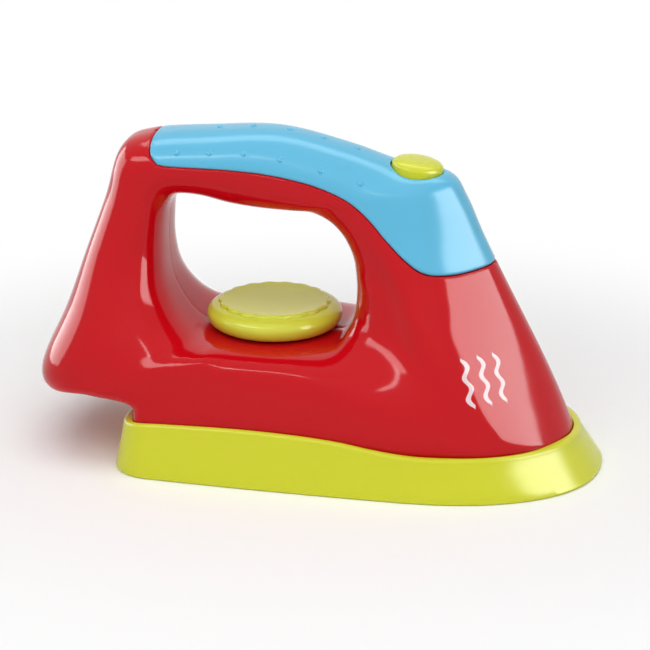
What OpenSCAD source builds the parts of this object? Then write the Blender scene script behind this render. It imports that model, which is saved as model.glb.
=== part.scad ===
// Toy iron: two moulded body halves round a finger opening, a grip cover with a sprung
// spray button, a click dial on the deck and a sole plate. +X points to the nose, +Z up.

/* [Overall] */
// Length from the heel to the tip of the sole
iron_l = 178; // [165:1:190]
// Width over the sole plate
iron_w = 84; // [80:1:90]
// Height of the handle above the ironing face
iron_h = 105; // [99:1:111]

/* [Body halves] */
// Wall of the body halves and the grip cover
shell_wall = 2; // [1.6:0.1:2.4]
// Gap between parts that lie inside one another
fit_gap = 0.25; // [0.15:0.05:0.35]
// Outer radius of a solid screw boss
boss_r = 3.6; // [3.2:0.1:4]
// Wall round the sunk well of a body screw
well_wall = 1.4; // [1.2:0.1:1.8]
// Thickness of plastic under the head of a body screw
clamp_t = 5; // [4:0.5:6]
// Height of the bosses that take the sole screws
sole_boss_h = 11; // [10:0.5:13]
// Plastic left past the end of a screw's pilot hole
pilot_floor = 1.2; // [1:0.1:1.6]

/* [Grip cover] */
// Thickness of the ears that the handle screws trap
ear_t = 3; // [2:0.2:4]
// Radius of an ear round its screw
ear_r = 4; // [3.8:0.1:4.3]
// Radius of a grip dot
dot_r = 1; // [0.8:0.1:1.2]
// Height of a grip dot
dot_h = 0.5; // [0.3:0.1:0.6]

/* [Spray button] */
// Radius of the button
button_r = 8.1; // [7.5:0.1:8.7]
// Height of the button above the grip
button_proud = 3; // [2.6:0.1:3.4]
// Height of the rounded top of the button
button_dome = 2.8; // [2.2:0.1:3.2]
// Depth of the button below the grip's surface
button_skirt = 3; // [2.5:0.1:3.5]
// How far the button can be pressed
button_travel = 1.8; // [1.4:0.1:2]
// Wall and floor of the pocket
pocket_wall = 1.6; // [1.4:0.1:1.8]
// Radius of the button's stem
stem_r = 2.6; // [2.4:0.1:2.8]
// Running clearance round turning and sliding stems
running_gap = 0.08; // [0.05:0.01:0.1]
// Radius of the spring's coil at the wire's centre
spring_r = 4.2; // [4:0.1:4.6]
// Wire of the spring
spring_wire = 0.6; // [0.5:0.05:0.7]
// Turns of the spring
spring_turns = 4; // [3:1:5]
// Room that the spring still has under the pressed button
spring_spare = 1.2; // [1:0.1:1.6]

/* [Dial] */
// Radius of the dial
dial_r = 21.4; // [20:0.2:23]
// Height of the dial above its underside
dial_h = 8.2; // [7.6:0.2:9]
// Lift of the dial above the deck
dial_lift = 0.4; // [0.3:0.1:0.6]
// Radius of the dial's raised top disc
disc_r = 17; // [16:0.2:17.6]
// Rise of the top disc above the rim
disc_rise = 0.9; // [0.6:0.1:1.1]
// Number of scallops round the top disc
dial_scallops = 28; // [20:1:32]
// Radius of one scallop
scallop_r = 1.1; // [0.9:0.1:1.3]
// Radius of the dial's stem
dial_stem_r = 4; // [3.8:0.1:4.6]
// Length of the round stem below the deck's surface
dial_stem_l = 5; // [4.5:0.1:6]
// Width across the square end of the stem
square_w = 5; // [4.6:0.1:5.2]

/* [Click wheel] */
// Radius of the click wheel
wheel_r = 11; // [10:0.2:12]
// Thickness of the click wheel
wheel_t = 3; // [2.5:0.1:4]
// Notches round the click wheel
notches = 12; // [12:12:24]
// Radius of one notch
notch_r = 1.3; // [1.1:0.1:1.5]
// Thickness of the leaf spring
leaf_t = 0.5; // [0.4:0.05:0.6]
// Height of the leaf spring
leaf_h = 5; // [4:0.5:6]
// Length of the leaf from its post to the wheel's axis
leaf_l = 15; // [14:0.5:17]
// Width of the post that holds the leaf
post_w = 5; // [4:0.5:6]

/* [Sole plate] */
// Thickness of the sole's floor
sole_t = 2.2; // [2:0.1:2.8]
// How far the rim leans in towards its top
rim_lean = 2.6; // [2.2:0.1:3]
// How much further the rim leans in at the nose
nose_lean = 4; // [3:0.5:4.5]
// Rounding of the rim's top edge
rim_round = 1.3; // [1:0.1:1.5]
// Width of the rim with the ledge that carries the body
rim_w = 8.4; // [8:0.2:9]
// Rounding of the sole's bottom edge
sole_round = 0.9; // [0.6:0.1:1.2]
// Height at which the body sits in the sole
seat_z = 9; // [8.5:0.1:10]
// How much each side of the sole draws in towards the rear
rear_taper = 2.5; // [1:0.5:3]
// Radius of the sole's rear corners
rear_corner_r = 13; // [11:0.5:15]
// Radius of the posts that the sole screws pass
sole_post_r = 5; // [4.6:0.1:5.4]
// Thickness of plastic under the head of a sole screw
sole_clamp_t = 3.5; // [3:0.1:4]
// Radius of a moulded steam vent
vent_r = 1.8; // [1.4:0.1:2.2]
// Depth of a moulded steam vent
vent_depth = 1; // [0.6:0.1:1.3]
// Distance of the vents from the sole's edge
vent_in = 14; // [12:0.5:16]
// Vents on each side of the nose
vents = 6; // [4:1:7]

/* [Fasteners] */
// Radius of a screw's shank
screw_r = 1.4; // [1.2:0.05:1.5]
// Length of the body and handle screws under the head
screw_l = 13; // [12:0.5:14]
// Length of the short screws under the head
short_screw_l = 9; // [8:0.5:9.5]
// Radius of a screw's head
head_r = 2.8; // [2.5:0.1:3]
// Height of a screw's head
head_h = 1.9; // [1.6:0.1:2.2]
// Width of a slot of the cross recess
cross_w = 0.6; // [0.5:0.05:0.8]
// Thickness of the washers
washer_t = 0.8; // [0.6:0.1:1]
// Radius of the button's washer
button_washer_r = 4.6; // [4.2:0.1:5]
// Radius of the dial's washer
dial_washer_r = 6; // [5:0.2:7]

/* [Hidden] */
// Sections of the body, in order round the finger opening from the middle of the deck:
// inner edge x and z, outer edge x and z, half-width inside, midway and outside. Each x is
// a share of the length, each z of the body's height and each half-width of the width.
section_shares = [
    [-0.112,  0.324, -0.067,  0.000, 0.400, 0.430, 0.434],
    [-0.034,  0.324,  0.079,  0.000, 0.400, 0.434, 0.438],
    [ 0.034,  0.328,  0.213,  0.000, 0.370, 0.434, 0.430],
    [ 0.058,  0.374,  0.326,  0.000, 0.290, 0.417, 0.385],
    [ 0.066,  0.426,  0.404,  0.000, 0.240, 0.393, 0.290],
    [ 0.067,  0.473,  0.447,  0.018, 0.215, 0.375, 0.200],
    [ 0.067,  0.512,  0.431,  0.122, 0.205, 0.350, 0.170],
    [ 0.065,  0.557,  0.399,  0.258, 0.198, 0.315, 0.150],
    [ 0.060,  0.601,  0.363,  0.390, 0.192, 0.275, 0.140],
    [ 0.050,  0.645,  0.321,  0.540, 0.186, 0.240, 0.135],
    [ 0.034,  0.687,  0.284,  0.678, 0.180, 0.214, 0.135],
    [ 0.009,  0.722,  0.254,  0.800, 0.175, 0.196, 0.145],
    [-0.025,  0.742,  0.223,  0.875, 0.172, 0.186, 0.155],
    [-0.065,  0.742,  0.140,  0.900, 0.170, 0.182, 0.165],
    [-0.112,  0.742,  0.040,  0.956, 0.167, 0.182, 0.167],
    [-0.163,  0.751, -0.080,  1.000, 0.167, 0.182, 0.167],
    [-0.214,  0.772, -0.205,  0.987, 0.167, 0.182, 0.167],
    [-0.254,  0.772, -0.316,  0.962, 0.167, 0.184, 0.165],
    [-0.274,  0.729, -0.361,  0.914, 0.170, 0.190, 0.165],
    [-0.280,  0.651, -0.386,  0.761, 0.178, 0.210, 0.175],
    [-0.280,  0.568, -0.422,  0.573, 0.195, 0.250, 0.210],
    [-0.272,  0.474, -0.456,  0.390, 0.240, 0.315, 0.250],
    [-0.248,  0.390, -0.497,  0.205, 0.300, 0.375, 0.320],
    [-0.218,  0.338, -0.484,  0.119, 0.350, 0.395, 0.335],
    [-0.189,  0.324, -0.405,  0.125, 0.385, 0.410, 0.385],
    [-0.165,  0.324, -0.316,  0.116, 0.398, 0.415, 0.408],
    [-0.145,  0.324, -0.307,  0.045, 0.400, 0.415, 0.415],
    [-0.130,  0.324, -0.270,  0.000, 0.400, 0.420, 0.422]];
// How square each section is at its inner and outer edge: 2 is an ellipse
section_squareness = [
    [7, 9], [7, 9], [6, 9], [4.5, 8], [4, 6], [4, 3], [4, 2.4], [4, 2.2], [3.6, 2.2], [3.4, 2.2],
    [3.2, 2.2], [3, 2.3], [2.8, 2.4], [2.8, 2.4], [2.8, 2.4], [2.8, 2.4], [2.8, 2.4], [3, 2.6],
    [3.2, 2.8], [3.4, 3], [3.6, 3.2], [4, 3.4], [5, 3.8], [6, 4], [7, 5], [7, 8], [7, 9], [7, 9]];
// Hollows in the sides where the columns run into the body: section in the middle, sections
// to each side, place across the section, spread across it, and depth as a share of the width
hollow_shares = [[6.4, 2.6, 0.22, 0.12, 0.040], [20.8, 1.6, 0.30, 0.14, 0.012]];
// Side view of the joint line under the grip cover
seam_shares = [
    [-0.312, 1.134], [-0.298, 0.953], [-0.284, 0.905], [-0.268, 0.892], [-0.215, 0.891],
    [-0.144, 0.890], [-0.074, 0.881], [-0.003, 0.856], [0.053, 0.817], [0.094, 0.763],
    [0.129, 0.698], [0.165, 0.639], [0.199, 0.601], [0.242, 0.590], [0.283, 0.592],
    [0.340, 0.601], [0.450, 0.612]];
// Body screws and handle screws, seen from the side
body_screw_shares = [[0.290, 0.202], [0.190, 0.479], [-0.350, 0.258], [-0.345, 0.612]];
handle_screw_shares = [[-0.180, 0.823], [0.045, 0.762]];
// Sole screws, seen from above
sole_screw_shares = [[0.300, 0.200], [-0.250, 0.270]];
// Height of the sole's rim above the seat, from the rear to the nose
rim_shares = [
    [-0.342, 0.061], [-0.300, 0.075], [-0.240, 0.082], [-0.150, 0.087], [-0.080, 0.088],
    [0.000, 0.084], [0.070, 0.075], [0.130, 0.060], [0.200, 0.047], [0.280, 0.044],
    [0.360, 0.040], [0.430, 0.038], [0.500, 0.036]];
sole_rear_share = -0.342;
nose_start_share = 0.170;
dial_place_share = -0.089;
above_all_share = 1.15;
// Places along the ring of sections, counted in sections from the middle of the deck
button_section = 12.72;
cover_sections = [9, 17.7];
sole_sections = [24, 34.4];
ear_sections = [15.9, 13.9];
// Sections that a boss, the button's pocket and an ear's root cover to each side
sections_per_boss = 4 / 3;
sections_per_pocket = 2;
sections_per_ear = 0.35;
// Grip dots: the angle of each row on its sections, and the sections that carry a dot
side_dots = [13.16, 13.94, 14.64, 15.24, 15.8, 16.36];
top_dots = [13.82, 14.35, 14.84, 15.36, 15.84];
dot_rows = [[119, side_dots], [180, top_dots], [241, side_dots]];

// Steps from one section to the next, and sides of half a section
section_steps = 3;
section_sides = 10;
// Angle at which the cover's wall begins on a section
cover_edge = 54;
// Exponents of the sole's nose and of the button's top, where 2 is an ellipse
nose_power = 2.25;
// Squareness of the nose at the top of the rim
rim_nose_power = 2.05;
button_power = 2.8;
// Overrun of all cuts
overrun = 1;
// Sides of round parts, of the spring's wire and of its turns, and steps of an arc
fine = 48;
wire_sides = 6;
wire_steps = 12;
arc_steps = 6;

body_base = seat_z + fit_gap;
body_h = iron_h - body_base;
deck_z = body_base + section_shares[0][1] * body_h;
dial_x = dial_place_share * iron_l;
dial_z = deck_z + dial_lift;
wheel_z = deck_z - dial_stem_l;
well_r = head_r + fit_gap;
pass_r = screw_r + fit_gap;
pilot_r = screw_r + running_gap / 4;
collar_t = dial_stem_l - dial_lift;
pocket_depth = button_skirt + button_travel + spring_turns * spring_wire + spring_spare + pocket_wall;
stem_end = pocket_depth + fit_gap;

// A point of the side view, from its shares of the length and of the body's height
function side_point(share) = [share[0] * iron_l, body_base + share[1] * body_h];

body_screw_places = [for (s = body_screw_shares) side_point(s)];
handle_screw_places = [for (s = handle_screw_shares) side_point(s)];
sole_screw_places = [for (s = sole_screw_shares, side = [-1, 1]) [s[0] * iron_l, side * s[1] * iron_w]];
sections = [for (i = [0 : len(section_shares) - 1])
    let (s = section_shares[i])
    concat(side_point([s[0], s[1]]), side_point([s[2], s[3]]),
        [s[4], s[5], s[6]] * iron_w, section_squareness[i])];

// A smooth curve from b to c that heads for the neighbours a and d
function smooth(a, b, c, d, t) =
    0.5 * (2 * b + (c - a) * t + (2 * a - 5 * b + 4 * c - d) * t * t
        + (3 * b - a - 3 * c + d) * t * t * t);

// The rows of a table joined by a smooth curve that runs through each
function smooth_line(rows, steps) =
    let (n = len(rows))
    [for (i = [0 : n - 2], k = [0 : i == n - 2 ? steps : steps - 1])
        smooth(rows[max(i - 1, 0)], rows[i], rows[i + 1], rows[min(i + 2, n - 1)], k / steps)];

function section_at(t) =
    let (n = len(sections), i = floor(t),
        s = smooth(sections[(i + n - 1) % n], sections[i % n], sections[(i + 1) % n],
            sections[(i + 2) % n], t - i))
    concat(s, [[for (h = hollow_shares) h[4] * iron_w * exp(-pow((t % n - h[0]) / h[1], 2))]]);

// How deep the hollows are at a share of the way across a section
function hollow_at(s, u) =
    s[9] * [for (h = hollow_shares) exp(-pow((u - h[2]) / h[3], 2))];

// A point of a section, at angle 0 on the inner edge and 180 on the outer edge,
// with the whole section drawn in by inset
function section_point(s, angle, inset) =
    let (inner = [s[0], s[1]], outer = [s[2], s[3]],
        across = (outer - inner) / norm(outer - inner),
        a = inner + across * inset,
        b = outer - across * inset,
        power = 2 / (cos(angle) > 0 ? s[7] : s[8]),
        u = (1 - sign(cos(angle)) * pow(abs(cos(angle)), power)) / 2,
        wide = s[4] * (1 - u) * (1 - 2 * u) + s[5] * 4 * u * (1 - u) + s[6] * u * (2 * u - 1)
            - hollow_at(s, u),
        y = sign(sin(angle)) * (wide - inset) * pow(abs(sin(angle)), power),
        p = a + (b - a) * u)
    [p[0], y, p[1]];

// The side view of the outer edge, drawn in by inset
function outer_edge(t, inset) =
    let (p = section_point(section_at(t), 180, inset))
    [p[0], p[2]];

// The wall of a patch of the body form, closed along its borders
// A ring patch joins its last row to its first
module patch_wall(rows, angles, ring) {
    n = len(rows);
    m = len(angles);
    last = ring ? n - 1 : n - 2;
    skin = [for (inset = [0, shell_wall], t = rows)
        let (s = section_at(t))
        for (angle = angles) section_point(s, angle, inset)];
    function at(side, i, k) = side * n * m + (i % n) * m + k;
    faces = concat(
        [for (i = [0 : last], k = [0 : m - 2])
            each [[at(0, i, k), at(0, i + 1, k + 1), at(0, i + 1, k)],
                [at(0, i, k), at(0, i, k + 1), at(0, i + 1, k + 1)],
                [at(1, i, k), at(1, i + 1, k), at(1, i + 1, k + 1)],
                [at(1, i, k), at(1, i + 1, k + 1), at(1, i, k + 1)]]],
        [for (i = [0 : last])
            each [[at(0, i, 0), at(1, i + 1, 0), at(1, i, 0)],
                [at(0, i, 0), at(0, i + 1, 0), at(1, i + 1, 0)],
                [at(0, i, m - 1), at(1, i, m - 1), at(1, i + 1, m - 1)],
                [at(0, i, m - 1), at(1, i + 1, m - 1), at(0, i + 1, m - 1)]]],
        ring ? [] : [for (k = [0 : m - 2])
            each [[at(0, 0, k), at(1, 0, k + 1), at(0, 0, k + 1)],
                [at(0, 0, k), at(1, 0, k), at(1, 0, k + 1)],
                [at(0, n - 1, k), at(0, n - 1, k + 1), at(1, n - 1, k + 1)],
                [at(0, n - 1, k), at(1, n - 1, k + 1), at(1, n - 1, k)]]]);
    polyhedron(skin, faces);
}

// The solid body form from one section to another, drawn in by inset
// With turns at 1 it is the half on +Y, and at 2 the whole
module body_form(from, to, inset, turns) {
    rows = [for (t = [from : 1 / section_steps : to]) section_at(t)];
    n = len(rows);
    m = turns * section_sides + (turns == 1 ? 1 : 0);
    skin = [for (s = rows, k = [0 : m - 1]) section_point(s, 180 * k / section_sides, inset)];
    function at(i, k) = i * m + k % m;
    faces = concat(
        [for (i = [0 : n - 2], k = [0 : m - 1])
            each [[at(i, k), at(i + 1, k + 1), at(i + 1, k)],
                [at(i, k), at(i, k + 1), at(i + 1, k + 1)]]],
        [[for (k = [m - 1 : -1 : 0]) at(0, k)]],
        [[for (k = [0 : m - 1]) at(n - 1, k)]]);
    polyhedron(skin, faces);
}

// The space above the joint line of the grip cover
module above_seam() {
    line = [for (s = seam_shares) side_point(s)];
    top = side_point([0, above_all_share])[1];
    rotate([90, 0, 0])
        linear_extrude(iron_w, center = true)
            polygon(concat(smooth_line(line, section_steps),
                [[line[len(line) - 1][0], top], [line[0][0], top]]));
}

// The section whose line runs nearest to a place of the side view
function section_near(place) =
    let (gaps = [for (t = [0 : 1 / section_steps : len(sections) - 1 / section_steps])
            let (s = section_at(t),
                across = [s[2] - s[0], s[3] - s[1]],
                u = (place - [s[0], s[1]]) * across / (across * across),
                gap = norm(place - [s[0], s[1]] - u * across))
            [u > 0 && u < 1 ? gap : iron_l, t]],
        least = min([for (g = gaps) g[0]]))
    [for (g = gaps) if (g[0] == least) g[1]][0];

// A round bar across the body at a place of the side view, from one y to another
module cross_bar(place, from, to, r) {
    translate([place[0], from, place[1]])
        rotate([-90, 0, 0])
            cylinder(r = r, h = to - from, $fn = fine);
}

// The wall of the half on +Y
module half_walls() {
    rows = [for (t = [0 : 1 / section_steps : len(sections) - 0.5 / section_steps]) t];
    patch_wall(rows, [for (k = [0 : section_sides]) 180 * k / section_sides], true);
}

// A boss from the middle of the body at y to the wall of the half on +Y
module wall_boss(place, y, r) {
    section = section_near(place);
    intersection() {
        cross_bar(place, y, iron_w, r);
        body_form(section - sections_per_boss, section + sections_per_boss, shell_wall / 2, 1);
    }
}

// The bosses of one half, whose side is 1 on +Y and -1 on -Y
module half_bosses(side, r) {
    mirror([0, side > 0 ? 0 : 1, 0]) {
        for (place = body_screw_places)
            wall_boss(place, 0, r);
        for (place = handle_screw_places)
            wall_boss(place, ear_t / 2, r);
    }
    for (place = sole_screw_places)
        if (sign(place[1]) == side)
            translate([place[0], place[1], body_base + shell_wall / 2])
                cylinder(r = boss_r, h = sole_boss_h - shell_wall / 2, $fn = fine);
    intersection() {
        translate([dial_x, 0, deck_z - collar_t])
            cylinder(r = dial_stem_r + well_wall + running_gap, h = collar_t - shell_wall / 2, $fn = fine);
        translate([dial_x - iron_w / 2, side > 0 ? 0 : -iron_w, 0])
            cube([iron_w, iron_w, iron_h]);
    }
}

// What is cut from both halves: the dial's bore, the sole screws' pilots and the cover's room
module half_cuts() {
    translate([dial_x, 0, deck_z - dial_stem_l - overrun])
        cylinder(r = dial_stem_r + running_gap, h = dial_stem_l + 2 * overrun, $fn = fine);
    for (place = sole_screw_places)
        translate([place[0], place[1], seat_z - overrun])
            cylinder(r = pilot_r, h = sole_boss_h + overrun - pilot_floor, $fn = fine);
    above_seam();
}

module shell_right() {
    color([0.78, 0.07, 0.11])
        difference() {
            union() {
                mirror([0, 1, 0])
                    half_walls();
                half_bosses(-1, boss_r);
            }
            half_cuts();
            for (place = body_screw_places)
                cross_bar(place, clamp_t - screw_l - pilot_floor, overrun, pilot_r);
            for (place = handle_screw_places)
                cross_bar(place, clamp_t - screw_l - pilot_floor / 2, overrun, pilot_r);
        }
}

module shell_left() {
    color([0.78, 0.07, 0.11])
        difference() {
            union() {
                half_walls();
                half_bosses(1, well_r + well_wall);
                leaf_post();
            }
            half_cuts();
            for (place = body_screw_places) {
                cross_bar(place, -overrun, clamp_t + overrun, pass_r);
                cross_bar(place, clamp_t, iron_w, well_r);
            }
            for (place = handle_screw_places) {
                cross_bar(place, -overrun, clamp_t + overrun, pass_r);
                cross_bar(place, clamp_t, iron_w, well_r);
            }
            click_leaf(0);
        }
}

// Grip cover

// The button's own frame: +Z stands square on the grip
module at_button() {
    p = outer_edge(button_section, 0);
    ahead = outer_edge(button_section - 1 / section_steps, 0) - outer_edge(button_section + 1 / section_steps, 0);
    translate([p[0], 0, p[1]])
        rotate([0, atan2(-ahead[1], ahead[0]), 0])
            children();
}

// A flat ear from the cover's wall at a section to a handle screw
module ear(place, section) {
    rotate([90, 0, 0])
        linear_extrude(ear_t, center = true)
            hull() {
                translate(place)
                    circle(r = ear_r, $fn = 32);
                for (t = [section - sections_per_ear, section + sections_per_ear])
                    translate(outer_edge(t, shell_wall / 2))
                        circle(r = shell_wall / 4, $fn = 12);
            }
}

// The way square out of the body form at a section and an angle
function way_out(section, angle) =
    let (step = 0.5 / section_steps, turn = 90 / section_sides, s = section_at(section),
        ahead = section_point(section_at(section - step), angle, 0),
        behind = section_point(section_at(section + step), angle, 0))
    cross(behind - ahead, section_point(s, angle + turn, 0) - section_point(s, angle - turn, 0));

// A raised dot of the grip, square on the cover at a section and an angle
module grip_dot(section, angle) {
    out = way_out(section, angle);
    translate(section_point(section_at(section), angle, 0))
        rotate([0, acos(out[2] / norm(out)), atan2(out[1], out[0])])
            translate([0, 0, -shell_wall / 2])
                rotate_extrude($fn = 24)
                    polygon(concat([[0, 0], [dot_r, 0]],
                        [for (a = [0 : 30 : 90]) [dot_r * cos(a), shell_wall / 2 + dot_h * sin(a)]]));
}

module grip_cover() {
    rows = [for (t = [cover_sections[0] : 1 / section_steps : cover_sections[1]]) t];
    sides = section_sides * (180 - cover_edge) / 90;
    color([0.45, 0.76, 0.90])
        difference() {
            union() {
                intersection() {
                    patch_wall(rows, [for (k = [0 : sides]) cover_edge + k * 180 / section_sides], false);
                    above_seam();
                }
                intersection() {
                    at_button()
                        translate([0, 0, -pocket_depth])
                            cylinder(r = button_r + fit_gap + pocket_wall, h = pocket_depth + overrun, $fn = fine);
                    body_form(button_section - sections_per_pocket, button_section + sections_per_pocket,
                        shell_wall / 2, 2);
                }
                for (i = [0, 1])
                    ear(handle_screw_places[i], ear_sections[i]);
                for (row = dot_rows, section = row[1])
                    grip_dot(section, row[0]);
            }
            at_button() {
                translate([0, 0, pocket_wall - pocket_depth])
                    cylinder(r = button_r + fit_gap, h = pocket_depth + overrun, $fn = fine);
                translate([0, 0, -pocket_depth - overrun])
                    cylinder(r = stem_r + running_gap, h = pocket_depth, $fn = fine);
            }
            for (place = handle_screw_places)
                cross_bar(place, -ear_t, ear_t, pass_r);
        }
}

// Spray button with its stem, spring, washer and screw

module spray_button() {
    profile = concat(
        [[0, -stem_end], [stem_r, -stem_end], [stem_r, -button_skirt], [button_r, -button_skirt]],
        [for (k = [0 : 2 * arc_steps])
            let (a = 90 * k / (2 * arc_steps))
            [button_r * pow(cos(a), 2 / button_power),
                button_proud - button_dome * (1 - pow(sin(a), 2 / button_power))]]);
    color([0.80, 0.85, 0.20])
        at_button()
            difference() {
                rotate_extrude($fn = fine)
                    polygon(profile);
                translate([0, 0, -stem_end - overrun])
                    cylinder(r = pilot_r, h = short_screw_l - washer_t + overrun + fit_gap, $fn = fine);
            }
}

// Closed tube along a helix whose flat ends lie on the pocket's floor and under the button
module button_spring() {
    low = pocket_wall - pocket_depth + spring_wire / 2;
    high = -button_skirt - spring_wire / 2;
    n = spring_turns * wire_steps;
    skin = [for (i = [0 : n], k = [0 : wire_sides - 1])
        let (turn = 360 * i / wire_steps, roll = 360 * (k + 0.5) / wire_sides,
            r = spring_r + spring_wire / 2 * cos(roll))
        [r * cos(turn), r * sin(turn), low + (high - low) * i / n + spring_wire / 2 * sin(roll)]];
    function at(i, k) = i * wire_sides + k % wire_sides;
    faces = concat(
        [for (i = [0 : n - 1], k = [0 : wire_sides - 1])
            each [[at(i, k), at(i, k + 1), at(i + 1, k + 1)],
                [at(i, k), at(i + 1, k + 1), at(i + 1, k)]]],
        [[for (k = [wire_sides - 1 : -1 : 0]) at(0, k)]],
        [[for (k = [0 : wire_sides - 1]) at(n, k)]]);
    color([0.75, 0.76, 0.78])
        at_button()
            polyhedron(skin, faces);
}

module washer(r) {
    color([0.75, 0.76, 0.78])
        difference() {
            cylinder(r = r, h = washer_t, $fn = fine);
            translate([0, 0, -overrun])
                cylinder(r = pass_r, h = washer_t + 2 * overrun, $fn = fine);
        }
}

// A screw with its head's underside at z = 0 and its shank down -Z
module screw(length) {
    color([0.70, 0.71, 0.74])
        difference() {
            rotate_extrude($fn = fine)
                polygon([[0, -length], [screw_r / 2, -length], [screw_r, screw_r - length], [screw_r, 0],
                    [head_r, 0], [head_r, head_h / 2], [head_r * 0.7, head_h], [0, head_h]]);
            for (turn = [0, 90])
                rotate([0, 0, turn])
                    translate([-head_r / 2, -cross_w / 2, head_h / 2])
                        cube([head_r, cross_w, head_h]);
        }
}

module button_washer() {
    at_button()
        translate([0, 0, -stem_end - washer_t])
            washer(button_washer_r);
}

module button_screw() {
    at_button()
        translate([0, 0, -stem_end - washer_t])
            rotate([180, 0, 0])
                screw(short_screw_l);
}

// Dial with its click wheel

module dial_knob() {
    rim_h = dial_h - disc_rise;
    bulge = 0.55 * rim_h;
    top_r = disc_r - scallop_r;
    profile = concat(
        [[0, 0]],
        [for (k = [0 : arc_steps])
            let (a = 90 * k / arc_steps)
            [dial_r - bulge * (1 - sin(a)), bulge * (1 - cos(a))]],
        [for (k = [1 : arc_steps])
            let (a = 90 * k / arc_steps)
            [top_r + (dial_r - top_r) * cos(a), bulge + (rim_h - bulge) * sin(a)]],
        [[0, rim_h]]);
    color([0.74, 0.78, 0.24])
        translate([dial_x, 0, dial_z])
            difference() {
                union() {
                    rotate_extrude($fn = 2 * fine)
                        polygon(profile);
                    difference() {
                        translate([0, 0, bulge])
                            cylinder(r = disc_r, h = dial_h - bulge, $fn = 2 * fine);
                        for (k = [1 : dial_scallops])
                            rotate([0, 0, 360 * k / dial_scallops])
                                translate([disc_r, 0, 0])
                                    cylinder(r = scallop_r, h = dial_h + overrun, $fn = fine);
                    }
                    translate([0, 0, wheel_z - dial_z])
                        cylinder(r = dial_stem_r, h = dial_z - wheel_z + bulge, $fn = fine);
                    translate([-square_w / 2, -square_w / 2, wheel_z - dial_z - wheel_t + fit_gap])
                        cube([square_w, square_w, wheel_t]);
                }
                translate([0, 0, wheel_z - dial_z - wheel_t - overrun])
                    cylinder(r = pilot_r, h = short_screw_l - washer_t + overrun + fit_gap, $fn = fine);
            }
}

module click_wheel() {
    color([0.90, 0.90, 0.86])
        translate([dial_x, 0, wheel_z - wheel_t])
            difference() {
                cylinder(r = wheel_r, h = wheel_t, $fn = 2 * fine);
                for (k = [1 : notches])
                    rotate([0, 0, 360 * k / notches])
                        translate([wheel_r, 0, -overrun])
                            cylinder(r = notch_r, h = wheel_t + 2 * overrun, $fn = fine);
                translate([-square_w / 2 - running_gap, -square_w / 2 - running_gap, -overrun])
                    cube([square_w + 2 * running_gap, square_w + 2 * running_gap, wheel_t + 2 * overrun]);
            }
}

// The leaf stands on edge beside the wheel, with a round nose in one notch
module click_leaf(nose) {
    leaf_y = wheel_r + fit_gap;
    translate([dial_x, 0, wheel_z - wheel_t / 2 - leaf_h / 2]) {
        translate([-2 * notch_r, leaf_y, 0])
            cube([leaf_l + post_w + 2 * notch_r, leaf_t, leaf_h]);
        if (nose > 0)
            intersection() {
                translate([0, leaf_y, 0])
                    cylinder(r = nose, h = leaf_h, $fn = fine);
                translate([-notch_r, leaf_y - notch_r, 0])
                    cube([2 * notch_r, notch_r + leaf_t / 2, leaf_h]);
            }
    }
}

module click_spring() {
    color([0.75, 0.76, 0.78])
        click_leaf(notch_r - fit_gap / 2);
}

// The post hangs from the deck of the left half and holds the leaf's end in its slot
module leaf_post() {
    low = wheel_z - wheel_t / 2 - leaf_h / 2;
    translate([dial_x + leaf_l, wheel_r + fit_gap + leaf_t / 2 - post_w / 2, low])
        cube([post_w, post_w, deck_z - shell_wall / 2 - low]);
}

module dial_washer() {
    translate([dial_x, 0, wheel_z - wheel_t - washer_t])
        washer(dial_washer_r);
}

module dial_screw() {
    translate([dial_x, 0, wheel_z - wheel_t - washer_t])
        rotate([180, 0, 0])
            screw(short_screw_l);
}

// Sole plate

// Height of the rim's top at x, between the rows of its table
function rim_top(x) = seat_z + iron_h * lookup(x / iron_l, rim_line);
rim_line = smooth_line(rim_shares, section_steps);

// Half of the sole's outline from the rear to the nose, drawn in by inset and by more at the tip
function sole_edge(inset, tip_inset = 0, power = nose_power) =
    let (rear = sole_rear_share * iron_l + inset,
        start = nose_start_share * iron_l,
        tip = iron_l / 2 - inset - tip_inset,
        side = iron_w / 2 - inset,
        r = rear_corner_r - inset)
    concat(
        [for (k = [0 : arc_steps])
            [rear + r * (1 - cos(90 * k / arc_steps)),
                side - rear_taper - r * (1 - sin(90 * k / arc_steps))]],
        [for (k = [1 : arc_steps / 2])
            let (ahead = k / (arc_steps / 2 + 1))
            [rear + r + (start - rear - r) * ahead, side - rear_taper * pow(1 - ahead, 2)]],
        [for (k = [0 : 2 * arc_steps])
            let (a = 90 * k / (2 * arc_steps))
            [start + (tip - start) * pow(sin(a), 2 / power), side * pow(cos(a), 2 / power)]]);

// The whole outline, round both sides
function sole_outline(inset, tip_inset = 0, power = nose_power) =
    let (half = sole_edge(inset, tip_inset, power), n = len(half))
    concat(half, [for (i = [n - 2 : -1 : 0]) [half[i][0], -half[i][1]]]);

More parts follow.
